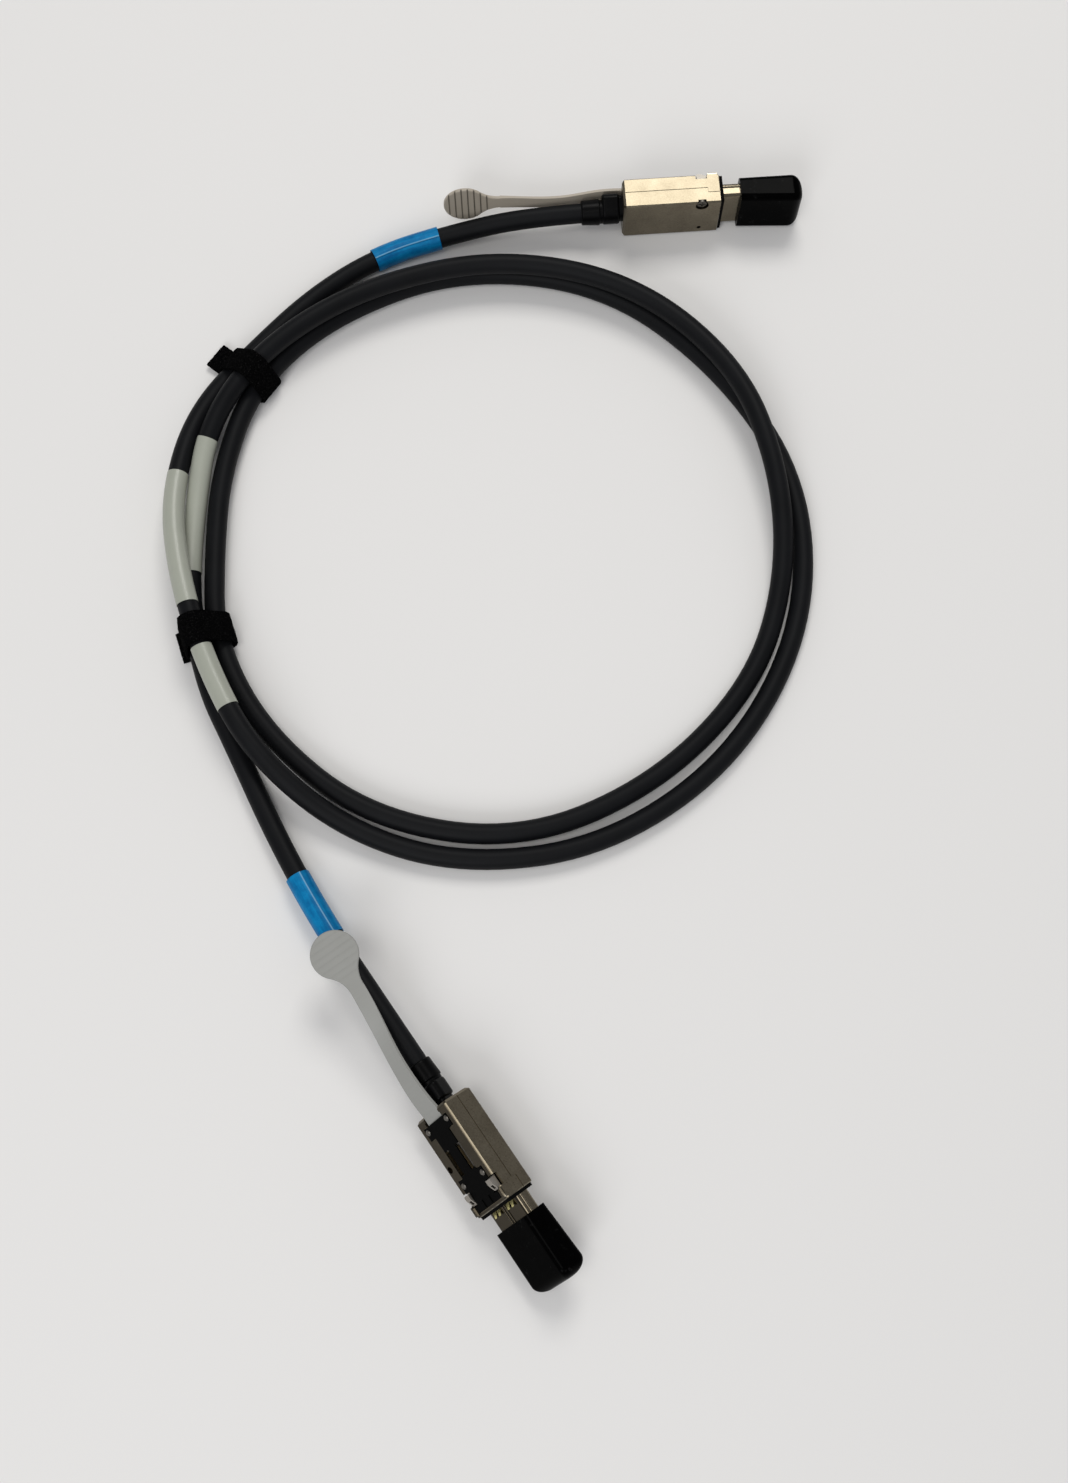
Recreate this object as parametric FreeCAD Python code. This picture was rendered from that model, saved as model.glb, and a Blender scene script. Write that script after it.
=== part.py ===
import FreeCAD, Part
import math
import os

V = FreeCAD.Vector

# Cable: a round jacketed lead in two loose turns with a tail at each end
cable_diameter = 8.2
cable_in_boot = 12.0
ring_centre = (4.96, 62.27)
bend_share = 0.45

# Tail that leaves plug a: its straight run behind the shell, then its points
lead_a_run = 39.1
lead_a_points = [
    (-16.84, 202.77, 6.6),
]

# Points of the turns: angle about the ring's centre, radius and height
turn_points = [
    (112, 140.5, 5.2),
    (125, 136.5, 5.6),
    (139, 133.5, 6.2),
    (155, 138.8, 6.2),
    (172, 135.0, 9.4),
    (188, 127.6, 15.4),
    (205, 125.2, 15.3),
    (223, 129.0, 15.1),
    (243, 130.5, 4.1),
    (264, 131.0, 4.1),
    (289, 130.0, 4.1),
    (317, 127.5, 4.1),
    (346, 126.5, 4.1),
    (374, 125.5, 4.1),
    (402, 121.5, 4.1),
    (430, 126.5, 4.1),
    (458, 127.0, 4.1),
    (484, 125.0, 5.4),
    (505, 124.5, 6.2),
    (524, 117.5, 6.2),
    (542, 113.6, 6.2),
    (560, 117.0, 6.2),
    (581, 120.0, 4.5),
    (606, 122.5, 4.1),
    (634, 121.5, 4.1),
    (662, 116.0, 4.1),
    (690, 116.0, 4.1),
    (713, 115.6, 6.0),
    (735, 117.0, 12.4),
    (758, 123.6, 12.9),
    (784, 127.0, 12.9),
    (810, 126.0, 12.9),
    (836, 125.0, 13.9),
    (858, 127.5, 15.0),
    (876, 129.5, 11.4),
    (893, 124.0, 6.3),
    (910, 125.4, 6.2),
    (927, 129.0, 6.2),
]

# Tail that ends at plug b: its points, then its straight run behind the shell
lead_b_points = [
    (-96.84, -22.23, 4.1),
    (-79.84, -57.23, 4.1),
    (-60.64, -90.23, 6.5),
]
lead_b_run = 42.5

# Where the coil begins and ends, by length from each end of the cable
coil_from_a = 163.8
coil_from_b = 179.2

# What is wrapped on the cable: sleeves and two labels from plug a's end, a sleeve and a label from plug b's
sleeve_wall = 0.6
sleeve_a_start = 72.8
sleeve_a_length = 29.0
sleeve_b_start = 69.2
sleeve_b_length = 35.0
label_wall = 0.2
label_long_start = 230.8
label_long_length = 59.0
label_gap = 22.0
label_short_length = 27.0
label_middle_start = 230.2
label_middle_length = 57.0
wrap_clearance = 0.05

# Hook-and-loop ties
tie_thickness = 1.2
tie_clearance = 0.3
tie_reach = 30.0
tie_1_angle = 144.0
tie_1_width = 11.5
tie_1_flap = 8.0
tie_2_angle = 197.5
tie_2_width = 13.0
tie_2_flap = 4.5

# Plug places: shell rear on the cable's axis, turn about the axis, heading
plug_a_place = (56.17, 211.37, 11.2)
plug_a_roll = -90.0
plug_a_heading = 4.0
plug_b_place = (-13.74, -157.23, 11.6)
plug_b_roll = 52.0
plug_b_heading = -55.0

# Plug shell, in two die-cast halves; the cable enters below mid-thickness
shell_length = 40.6
shell_width = 21.6
shell_thickness = 13.6
cable_drop = 1.2
shell_wall = 1.2
rear_wall = 2.0
front_wall = 4.0
edge_chamfer = 0.7
rear_chamfer = 0.9
front_chamfer = 0.3
latch_half_depth = 6.5
parting_step = 2.1
parting_step_length = 5.2
parting_groove_width = 0.3
parting_groove_depth = 0.25

# Raised shoulders at the front corners of the latch face
shoulder_setback = 0.8
shoulder_length = 4.0
shoulder_width = 2.2
shoulder_rise = 0.7
shoulder_chamfer = 0.5

# Recess in the latch face, under the retainer plate
rear_strip_width = 5.0
rear_channel_clearance = 0.2
strip_width = 5.6
recess_depth = 3.9
recess_roof = 1.0
strip_hole_radius = 1.3
strip_hole_x = 20.7
strip_hole_inset = 2.3
strip_hole_depth = 2.5

# Nose: a stamped sleeve round the paddle card, with beads along its latch side and its narrow sides
nose_margin = 1.0
nose_height = 6.2
nose_centre = 0.6
nose_wall = 0.7
nose_corner = 1.3
nose_reach = 25.0
nose_grip = 3.8
nose_bead_radius = 0.5
nose_bead_y = 0.75
nose_bead_drop = 1.9
fit_clearance = 0.05
edge_tolerance = 0.01

# Front gasket, and the gold spring fingers that it holds
gasket_length = 1.2
gasket_side_inset = 0.3
gasket_face_inset = 0.8
gasket_corner = 0.9
finger_sheet = 0.25
finger_length = 2.4
finger_width = 2.3
finger_tip_width = 1.1
finger_pitch = 2.8
finger_first = 3.2
finger_count = 2
finger_tilt = 18.0

# Paddle card, its pads, the wire pairs and their mould
card_clearance = 0.4
card_thickness = 1.0
card_rear = 16.0
card_setback = 2.0
card_notch_depth = 2.6
card_notch_length = 6.0
card_notch_setback = 1.0
pad_count = 13
pad_pitch = 0.8
pad_width = 0.5
pad_length = 6.0
pad_thickness = 0.06
pair_width = 1.3
pair_height = 1.1
pair_bundle_y = (0.7, 2.05)
pair_card_y = (2.2, 6.5)
pair_bundle_z = 0.6
pair_fan_start = 3.2
pair_on_card = 2.5
mould_length = 11.0
mould_lead = 3.0
mould_clearance = 0.2

# Crimp ring, and a boot with a root, an egg-shaped collar, a waist and a tapered neck
crimp_radius = 3.7
crimp_wall = 0.6
crimp_rear = -4.8
crimp_front = 1.9
boot_length = 17.4
boot_width = 13.2
boot_top = 5.3
boot_corner = 2.5
boot_underside = 5.2
boot_root_length = 1.4
boot_root_inset = 0.9
boot_collar_length = 7.2
boot_collar_round = 1.0
boot_waist_length = 1.0
boot_waist_radius = 4.8
boot_neck_front = 5.35
boot_neck_rear = 4.95
boot_neck_round = 0.6

# Retainer plate: ears for its rear rivets, a body, a narrow spine over the latch arms, a broad front
plate_thickness = 0.5
plate_rise = 0.2
plate_edge_clearance = 0.2
plate_rear = 3.6
ear_front = 8.6
ear_margin = 1.2
window_start = 14.6
window_setback = 0.8
plate_body_clearance = 0.3
plate_spine_width = 5.2
plate_head_lead = 5.2
plate_setback = 1.4
plate_rib_length = 3.4
plate_rib_width = 0.5
plate_rib_height = 0.25
plate_rib_y = 2.3
rivet_radius = 0.8
rivet_head_radius = 1.15
rivet_head_height = 0.35
rivet_rear_x = 5.4
rivet_front_lead = 2.4
rivet_inset = 3.9
rivet_depth = 1.6

# Latch bar, on a cross pin
pin_radius = 0.6
pin_x = 14.0
pin_clearance = 0.04
pin_seat = 0.9
knuckle_radius = 1.0
bar_thickness = 0.5
bar_plate_clearance = 0.2
bar_side_clearance = 0.3
bar_tail = 9.2
bar_lip = 0.5
bar_lip_drop = 0.35
bar_web_front = 15.2
bar_arm_inner = 2.9
bar_arm_width = 0.8
bar_head_setback = 4.4
bar_head_length = 5.2
bar_head_inset = 1.5
hook_lead = 0.4
hook_length = 4.6
hook_flat = 1.8
hook_width = 2.8
hook_proud = 1.0
hook_toe_drop = 0.2
hook_window_length = 1.6
hook_window_width = 1.3
hook_notch_clearance = 0.4
pocket_clearance = 0.3
side_notch_length = 4.8
side_notch_depth = 2.2
latch_angle = 4.0

# Pull tab: tongue, strap and round grip
tab_travel = 3.0
tab_thickness = 1.1
tab_width = 5.8
strap_side_gap = 0.9
tongue_clearance = 0.15
tongue_front = 12.8
tongue_jog_length = 2.0
tab_slot_clearance = 0.2
head_rear = 6.9
head_length = 1.6
head_clearance = 0.2
ramp_rear = 9.0
grip_centre = -66.0
grip_radius = 9.0
grip_blend = 12.0
grip_thickness = 1.5
grip_edge = 0.3
grip_groove_first = 2.1
grip_groove_pitch = 2.65
grip_groove_width = 0.6
grip_groove_inner = 0.4
grip_groove_outer = 0.08
grip_groove_count = 7

# Strap stations: distance behind the shell, then the shares of the grip's offset and twist and of its width
strap_stations = [
    (3.0, 0.0, 0.05),
    (10.0, 0.04, 0.3),
    (22.0, 0.20, 0.8),
    (34.0, 0.52, 1.0),
    (44.0, 0.85, 1.0),
]
grip_a_offset = (-2.0, 6.6)
grip_a_twist = -7.0
strap_a_bows = (0.2, 0.3, -0.7, -0.9, -0.4)
grip_b_offset = (8.2, 9.8)
grip_b_twist = -52.0
strap_b_bows = (0.45, 1.0, 1.0, 0.45, 0.15)

# Return springs of the pull tab, one each side of the tongue
spring_sheet = 0.3
spring_height = 0.9
spring_folds = 4
spring_clearance = 0.1

# Shell screw, and the small hole beside it in the base
screw_setback = 8.0
screw_inset = 2.1
screw_radius = 1.0
screw_head_radius = 2.0
screw_head_height = 0.9
screw_length = 6.6
screw_clearance = 0.02
counterbore_radius = 2.7
counterbore_depth = 1.6
screw_boss_radius = 1.8
base_hole_radius = 0.9
base_hole_inset = 3.6

# Dust cap, which grows thicker on the base side towards its tip
cap_length = 26.3
cap_side_wall = 1.25
cap_face_wall = 2.05
cap_corner = 2.4
cap_tip_round = 4.6
cap_tip_steps = 5
cap_flare = 1.6
cap_end_wall = 3.7
cap_clearance = 0.15
nose_shown = 8.4

# Worked-out places in a plug's own frame: x forward from the shell's rear, z towards the latch face
cable_radius = cable_diameter / 2
cable_end = cable_in_boot - boot_length
latch_face = shell_thickness / 2 + cable_drop
base_face = cable_drop - shell_thickness / 2
parting = latch_face - latch_half_depth
step_x = shell_length - parting_step_length
recess_floor = latch_face - recess_depth
cavity_top = recess_floor - recess_roof
cavity_bottom = base_face + shell_wall
cavity_width = shell_width - 2 * shell_wall
rear_channel_width = shell_width - 2 * rear_strip_width
recess_width = shell_width - 2 * strip_width
cavity_front = shell_length - front_wall
plate_top = latch_face + plate_rise
plate_under = plate_top - plate_thickness
plate_front = shell_length - plate_setback
bar_head_end = shell_length - bar_head_setback
bar_head_start = bar_head_end - bar_head_length
bar_head_width = shell_width - 2 * bar_head_inset
hook_x = bar_head_start + hook_lead
plate_head_start = bar_head_start - plate_head_lead
plate_body_width = recess_width - 2 * plate_body_clearance
window_end = plate_head_start - window_setback
rivet_front_x = plate_head_start + rivet_front_lead
rivet_y = shell_width / 2 - rivet_inset
ear_half = rivet_y + ear_margin
pin_height = plate_under - bar_plate_clearance - knuckle_radius
bar_low = pin_height - bar_thickness / 2
bar_high = pin_height + bar_thickness / 2
bar_side = recess_width / 2 - bar_side_clearance
head_width = rear_channel_width - 2 * head_clearance
strap_exit_width = rear_channel_width - 2 * strap_side_gap
jog_rear = rear_wall + tab_travel + tab_slot_clearance
tongue_low = recess_floor + tongue_clearance
tongue_high = tongue_low + tab_thickness
strap_low = plate_under - tongue_clearance - tab_thickness
strap_high = strap_low + tab_thickness
nose_width = shell_width - 2 * nose_margin
nose_top = nose_centre + nose_height / 2
nose_front = shell_length + nose_reach
gasket_front = shell_length + gasket_length
cap_mouth = shell_length + nose_shown
cap_tip = cap_mouth + cap_length
cap_width = nose_width + 2 * (cap_clearance + cap_side_wall)
cap_height = nose_height + 2 * (cap_clearance + cap_face_wall)
card_width = nose_width - 2 * (nose_wall + card_clearance)
card_notch_end = cavity_front - card_notch_setback
screw_x = shell_length - screw_setback
screw_y = screw_inset - shell_width / 2
base_hole_y = shell_width / 2 - base_hole_inset


def block(x0, x1, y0, y1, z0, z1):
    return Part.makeBox(x1 - x0, y1 - y0, z1 - z0, V(x0, y0, z0))


def centred(x0, x1, width, z0, z1):
    return block(x0, x1, -width / 2, width / 2, z0, z1)


def side_block(x0, x1, side, inner, outer, z0, z1):
    ends = sorted((side * inner, side * outer))
    return block(x0, x1, ends[0], ends[1], z0, z1)


def rod(radius, x, y, z0, z1):
    return Part.makeCylinder(radius, z1 - z0, V(x, y, z0))


def cross_rod(radius, x, z, y0, y1):
    return Part.makeCylinder(radius, y1 - y0, V(x, y0, z), V(0, 1, 0))


def axis_rod(radius, x0, x1):
    return Part.makeCylinder(radius, x1 - x0, V(x0, 0, 0), V(1, 0, 0))


def rounded_bar(x0, x1, width, z0, z1, corner):
    bar = centred(x0, x1, width, z0, z1)
    long_edges = [e for e in bar.Edges if abs(e.tangentAt(e.FirstParameter).x) > 0.9]
    return bar.makeFillet(corner, long_edges)


def plate_from(points, z0, z1):
    outline = Part.makePolygon([V(x, y, z0) for x, y in points + points[:1]])
    return Part.Face(outline).extrude(V(0, 0, z1 - z0))


def side_profile(points, width, y0):
    outline = Part.makePolygon([V(x, y0, z) for x, z in points + points[:1]])
    return Part.Face(outline).extrude(V(0, width, 0))


# Cable route: straight runs joined by tangent arcs

def behind_plug(place, heading, distance):
    turn = math.radians(heading)
    return V(*place) - V(math.cos(turn), math.sin(turn), 0) * distance


def route_points():
    points = [behind_plug(plug_a_place, plug_a_heading, back) for back in (-cable_end, lead_a_run)]
    points += [V(*p) for p in lead_a_points]
    for angle, radius, height in turn_points:
        turn = math.radians(angle)
        x = ring_centre[0] + radius * math.cos(turn)
        y = ring_centre[1] + radius * math.sin(turn)
        points.append(V(x, y, height))
    points += [V(*p) for p in lead_b_points]
    points += [behind_plug(plug_b_place, plug_b_heading, back) for back in (lead_b_run, -cable_end)]
    return points


def route_edges(points):
    edges = []
    radii = []
    last = points[0]
    for before, corner, after in zip(points, points[1:], points[2:]):
        arriving = (corner - before).normalize()
        leaving = (after - corner).normalize()
        trim = bend_share * min(corner.distanceToPoint(before), corner.distanceToPoint(after))
        half_turn = arriving.getAngle(leaving) / 2
        radius = trim / math.tan(half_turn)
        start = corner - arriving * trim
        end = corner + leaving * trim
        inward = (leaving - arriving).normalize()
        middle = corner + inward * (radius / math.cos(half_turn) - radius)
        edges.append(Part.LineSegment(last, start).toShape())
        edges.append(Part.Arc(start, middle, end).toShape())
        radii.append(radius)
        last = end
    edges.append(Part.LineSegment(last, points[-1]).toShape())
    print("cord radii", [round(r) for r in radii])
    return edges


def stretch(edges, start, end):
    pieces = []
    passed = 0.0
    for edge in edges:
        low = max(start - passed, 0.0)
        high = min(end - passed, edge.Length)
        if high - low > 1e-6:
            first = edge.getParameterByLength(low)
            last = edge.getParameterByLength(high)
            pieces.append(edge.Curve.toShape(first, last))
        passed += edge.Length
    return Part.Wire(pieces)


def tube(path, radius):
    first = path.Edges[0]
    start = first.valueAt(first.FirstParameter)
    heading = first.tangentAt(first.FirstParameter)
    profile = Part.Wire([Part.makeCircle(radius, start, heading)])
    return path.makePipeShell([profile], True, False)


def wrap(edges, start, length, wall):
    path = stretch(edges, start, start + length)
    inner = cable_radius + wrap_clearance
    return tube(path, inner + wall).cut(tube(path, inner))


# Ties

def round_hull(centres, radius):
    edges = []
    count = len(centres)
    normals = []
    for i in range(count):
        side = (centres[(i + 1) % count] - centres[i]).normalize()
        normals.append(V(side.y, -side.x, 0))
    for i in range(count):
        corner = centres[(i + 1) % count]
        ahead = normals[(i + 1) % count]
        between = (normals[i] + ahead).normalize()
        start = centres[i] + normals[i] * radius
        end = corner + normals[i] * radius
        edges.append(Part.LineSegment(start, end).toShape())
        edges.append(Part.Arc(end, corner + between * radius, corner + ahead * radius).toShape())
    return Part.Face(Part.Wire(edges))


def strands_at(edges, angle, shift):
    turn = math.radians(angle)
    outward = V(math.cos(turn), math.sin(turn), 0)
    along = V(-math.sin(turn), math.cos(turn), 0)
    middle = V(ring_centre[0], ring_centre[1], 0)
    reach = max(row[1] for row in turn_points)
    corners = [middle + along * shift + outward * (reach - tie_reach) - V(0, 0, tie_reach)]
    corners.append(corners[0] + outward * 2 * tie_reach)
    corners.append(corners[1] + V(0, 0, 3 * tie_reach))
    corners.append(corners[0] + V(0, 0, 3 * tie_reach))
    cut = Part.Face(Part.makePolygon(corners + corners[:1]))
    crossings = [v.Point for v in Part.Wire(edges).section(cut).Vertexes]
    return [V((p - middle).dot(outward), p.z, 0) for p in crossings]


def half_hull(points):
    chain = []
    for p in points:
        while len(chain) > 1 and (chain[-1] - chain[-2]).cross(p - chain[-1]).z <= 0:
            chain.pop()
        chain.append(p)
    return chain[:-1]


def hull_corners(points):
    points = sorted(points, key=lambda p: (p.x, p.y))
    return half_hull(points) + half_hull(points[::-1])


def tie(edges, angle, width, flap):
    strands = []
    for shift in (-width / 2, 0, width / 2):
        strands += strands_at(edges, angle, shift)
    centres = hull_corners(strands)
    inner = cable_radius + tie_clearance
    outer = inner + tie_thickness
    low = min(p.y for p in centres)
    rim = max(p.x for p in centres) + inner
    tongue = Part.makePlane(flap + tie_thickness, tie_thickness, V(rim, low, 0))
    band = round_hull(centres, outer).fuse(tongue)
    profile = band.cut(round_hull(centres, inner)).removeSplitter()
    solid = profile.Faces[0].extrude(V(0, 0, width))
    solid.translate(V(0, 0, -width / 2))
    solid.rotate(V(), V(1, 0, 0), 90)
    solid.rotate(V(), V(0, 0, 1), angle)
    solid.translate(V(ring_centre[0], ring_centre[1], 0))
    return solid


# Plug shell halves

def shoulder(side):
    x1 = shell_length - shoulder_setback
    outer = shell_width / 2
    raised = side_block(x1 - shoulder_length, x1, side, outer - shoulder_width, outer,
                        latch_face - edge_chamfer, latch_face + shoulder_rise)
    top_edges = [e for e in raised.Edges if e.BoundBox.ZMin > latch_face]
    return raised.makeChamfer(shoulder_chamfer, top_edges)


def shell_section(x, inset):
    half = shell_width / 2 - inset
    low = base_face + inset
    high = latch_face - inset
    c = edge_chamfer
    half_loop = [(half - c, low), (half, low + c), (half, high - c), (half - c, high)]
    loop = half_loop + [(-y, z) for y, z in half_loop[::-1]]
    return Part.makePolygon([V(x, y, z) for y, z in loop + loop[:1]])


def shell_block():
    stations = ((0, rear_chamfer), (rear_chamfer, 0), (shell_length - front_chamfer, 0),
                (shell_length, front_chamfer))
    body = Part.makeLoft([shell_section(x, inset) for x, inset in stations], True, True)
    body = body.fuse([shoulder(-1), shoulder(1)])
    cavity = centred(rear_wall, cavity_front, cavity_width, cavity_bottom, cavity_top)
    post = rod(screw_boss_radius, screw_x, screw_y, cavity_bottom, cavity_top)
    web = block(screw_x - screw_boss_radius, screw_x + screw_boss_radius,
                -cavity_width / 2, screw_y, cavity_bottom, cavity_top)
    body = body.cut(cavity.cut(post.fuse(web)))
    body = body.cut(nose_bar(cavity_front, shell_length, fit_clearance))
    body = body.cut(axis_rod(crimp_radius + fit_clearance, 0, rear_wall))
    head_seat = base_face + counterbore_depth
    body = body.cut(rod(counterbore_radius, screw_x, screw_y, base_face, head_seat))
    tip = head_seat + screw_length
    body = body.cut(rod(screw_radius + screw_clearance, screw_x, screw_y, head_seat, tip))
    return body.cut(rod(base_hole_radius, screw_x, base_hole_y, base_face, cavity_bottom))


def base_region():
    margin = shell_width
    rear = centred(-margin, step_x, 2 * margin, -margin, parting)
    front = centred(-margin, shell_length + margin, 2 * margin, -margin, parting - parting_step)
    return rear.fuse(front)


def parting_groove():
    half = parting_groove_width / 2
    outer = shell_width / 2
    inner = outer - parting_groove_depth
    low = parting - parting_step
    runs = []
    for side in (-1, 1):
        runs.append(side_block(0, step_x + half, side, inner, outer, parting - half, parting + half))
        runs.append(side_block(step_x - half, step_x + half, side, inner, outer, low - half, parting))
        runs.append(side_block(step_x - half, shell_length, side, inner, outer, low - half, low + half))
    return runs[0].fuse(runs[1:])


def recess():
    pocket_rear = bar_head_start - pocket_clearance
    pocket_front = bar_head_end + pocket_clearance
    pocket_half = bar_head_width / 2 + pocket_clearance
    top = latch_face + shoulder_rise
    channel_end = head_rear + head_length + rear_channel_clearance
    channel = centred(rear_wall, channel_end, rear_channel_width, recess_floor, top)
    deep = centred(rear_wall, pocket_front, recess_width, recess_floor, top)
    pocket = centred(pocket_rear, pocket_front, 2 * pocket_half, recess_floor, top)
    shelf = plate_from(plate_outline(plate_edge_clearance), plate_under, top)
    slot_width = strap_exit_width + 2 * tab_slot_clearance
    slot = centred(0, rear_wall, slot_width, strap_low - tongue_clearance, top)
    cuts = [channel, pocket, shelf, slot]
    for side in (-1, 1):
        cuts.append(side_block(pocket_rear, pocket_rear + side_notch_length, side, pocket_half,
                               shell_width / 2, latch_face - side_notch_depth, top))
    return deep.fuse(cuts)


def rivet_places():
    return [(x, side * rivet_y) for x in (rivet_rear_x, rivet_front_x) for side in (-1, 1)]


def latch_shell():
    half = shell_block().cut(base_region()).cut(recess()).cut(parting_groove())
    seat = recess_width / 2 + pin_seat
    half = half.cut(cross_rod(pin_radius + pin_clearance / 4, pin_x, pin_height, -seat, seat))
    hole_y = strip_hole_inset - shell_width / 2
    hole_floor = latch_face - strip_hole_depth
    half = half.cut(rod(strip_hole_radius, strip_hole_x, hole_y, hole_floor, latch_face))
    for x, y in rivet_places():
        half = half.cut(rod(rivet_radius, x, y, plate_under - rivet_depth, plate_under))
    return half


def base_shell():
    return shell_block().common(base_region()).cut(parting_groove())


# Nose, gasket and spring fingers

def nose_bar(x0, x1, grow):
    low = nose_centre - nose_height / 2 - grow
    high = nose_top + grow
    return rounded_bar(x0, x1, nose_width + 2 * grow, low, high, nose_corner + grow)


def nose_beads(x1, grow):
    side_z = nose_top - nose_bead_drop
    places = [(nose_bead_y, nose_top), (nose_width / 2, side_z)]
    beads = []
    for side in (-1, 1):
        for y, z in places:
            start = V(gasket_front, side * y, z)
            beads.append(Part.makeCylinder(nose_bead_radius + grow, x1 - gasket_front, start, V(1, 0, 0)))
    return beads


def nose_sleeve():
    rear = shell_length - nose_grip
    sleeve = nose_bar(rear, nose_front, 0).cut(nose_bar(rear, nose_front, -nose_wall))
    return sleeve.fuse(nose_beads(nose_front, 0)).removeSplitter()


def finger_band(grow):
    half = finger_first + (finger_count - 1) * finger_pitch + finger_width / 2 + grow
    low = nose_top + fit_clearance - grow
    return centred(shell_length, gasket_front, 2 * half, low, low + finger_sheet + 2 * grow)


def front_gasket():
    width = shell_width - 2 * gasket_side_inset
    pad = rounded_bar(shell_length, gasket_front, width, base_face + gasket_face_inset,
                      latch_face - gasket_face_inset, gasket_corner)
    pad = pad.cut(nose_bar(shell_length, gasket_front, fit_clearance))
    return pad.cut(finger_band(fit_clearance))


def spring_fingers():
    low = nose_top + fit_clearance
    root = finger_width / 2
    tip = finger_tip_width / 2
    x1 = gasket_front + finger_length
    strip = finger_band(0)
    for side in (-1, 1):
        for i in range(finger_count):
            y = side * (finger_first + i * finger_pitch)
            outline = [(gasket_front, y - root), (x1, y - tip), (x1, y + tip), (gasket_front, y + root)]
            finger = plate_from(outline, low, low + finger_sheet)
            finger.rotate(V(gasket_front, 0, low), V(0, 1, 0), -finger_tilt)
            strip = strip.fuse(finger)
    return strip.removeSplitter()


# Paddle card, pads, wire pairs, mould and crimp ring

def paddle_card():
    low = nose_centre - card_thickness / 2
    high = nose_centre + card_thickness / 2
    card = centred(card_rear, nose_front - card_setback, card_width, low, high)
    edge = card_width / 2
    for side in (-1, 1):
        card = card.cut(side_block(card_notch_end - card_notch_length, card_notch_end, side,
                                   edge - card_notch_depth, edge, low, high))
    return card


def card_contacts():
    pads = []
    x1 = nose_front - card_setback - pad_pitch
    top = nose_centre + card_thickness / 2
    bottom = nose_centre - card_thickness / 2
    for i in range(pad_count):
        y = (i - (pad_count - 1) / 2) * pad_pitch
        for low in (top, bottom - pad_thickness):
            y0 = y - pad_width / 2
            pads.append(block(x1 - pad_length, x1, y0, y0 + pad_width, low, low + pad_thickness))
    return Part.makeCompound(pads)


def pair_section(x, y, z):
    half_width = pair_width / 2
    half_height = pair_height / 2
    corners = [V(x, y - half_width, z - half_height), V(x, y + half_width, z - half_height),
               V(x, y + half_width, z + half_height), V(x, y - half_width, z + half_height)]
    return Part.makePolygon(corners + corners[:1])


def wire_pairs():
    pairs = []
    rise = (card_thickness + pair_height) / 2
    for row in (-1, 1):
        for side in (-1, 1):
            for bundle_y, card_y in zip(pair_bundle_y, pair_card_y):
                near = (side * bundle_y, row * pair_bundle_z)
                far = (side * card_y, nose_centre + row * rise)
                sections = [pair_section(cable_end, *near), pair_section(pair_fan_start, *near),
                            pair_section(card_rear, *far), pair_section(card_rear + pair_on_card, *far)]
                pairs.append(Part.makeLoft(sections, True, True))
    return Part.makeCompound(pairs)


def inner_mould(card, pairs):
    x0 = card_rear - mould_lead
    width = cavity_width - 2 * mould_clearance
    low = cavity_bottom + mould_clearance
    body = centred(x0, x0 + mould_length, width, low, cavity_top - mould_clearance).cut(card)
    for pair in pairs.Solids:
        body = body.cut(pair)
    return body


def crimp_ring():
    outer = axis_rod(crimp_radius, crimp_rear, crimp_front)
    return outer.cut(axis_rod(crimp_radius - crimp_wall, crimp_rear, crimp_front))


def egg(x, grow):
    corner = boot_corner + grow
    under = boot_underside + grow
    middle = V(x, boot_width / 2 - boot_corner, boot_top - boot_corner)
    lean = math.atan2(middle.z, middle.y)
    turn = lean - math.acos((under - corner) / math.hypot(middle.y, middle.z))

    def around(centre, radius, angle):
        return centre + V(0, math.cos(angle), math.sin(angle)) * radius

    def mirrored(p):
        return V(p.x, -p.y, p.z)

    axis = V(x, 0, 0)
    top = around(middle, corner, math.pi / 2)
    shoulder_point = around(middle, corner, (turn + math.pi / 2) / 2)
    hip = around(middle, corner, turn)
    flank = around(axis, under, turn)
    bottom = around(axis, under, -math.pi / 2)
    edges = [Part.LineSegment(mirrored(top), top).toShape(),
             Part.Arc(top, shoulder_point, hip).toShape(),
             Part.LineSegment(hip, flank).toShape(),
             Part.Arc(flank, bottom, mirrored(flank)).toShape(),
             Part.LineSegment(mirrored(flank), mirrored(hip)).toShape(),
             Part.Arc(mirrored(hip), mirrored(shoulder_point), mirrored(top)).toShape()]
    return Part.Face(Part.Wire(edges))


def boot():
    collar_front = -boot_root_length
    collar_rear = collar_front - boot_collar_length
    neck_front = collar_rear - boot_waist_length
    collar = egg(collar_front, 0).extrude(V(-boot_collar_length, 0, 0))
    rims = [e for e in collar.Edges if e.BoundBox.XLength < edge_tolerance]
    collar = collar.makeFillet(boot_collar_round, rims)
    root = egg(0, -boot_root_inset).extrude(V(-boot_root_length - boot_collar_length / 2, 0, 0))
    waist = axis_rod(boot_waist_radius, neck_front, collar_rear + boot_collar_length / 2)
    neck = Part.makeCone(boot_neck_rear, boot_neck_front, boot_length + neck_front,
                         V(-boot_length, 0, 0), V(1, 0, 0))
    neck_rims = [e for e in neck.Edges if e.BoundBox.XLength < edge_tolerance]
    neck = neck.makeFillet(boot_neck_round, neck_rims)
    solid = collar.fuse([root, waist, neck]).removeSplitter()
    solid = solid.cut(axis_rod(cable_radius + wrap_clearance, -boot_length, cable_end))
    return solid.cut(axis_rod(crimp_radius + fit_clearance, cable_end, 0))


# Retainer plate, rivets, pin, latch bar

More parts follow.
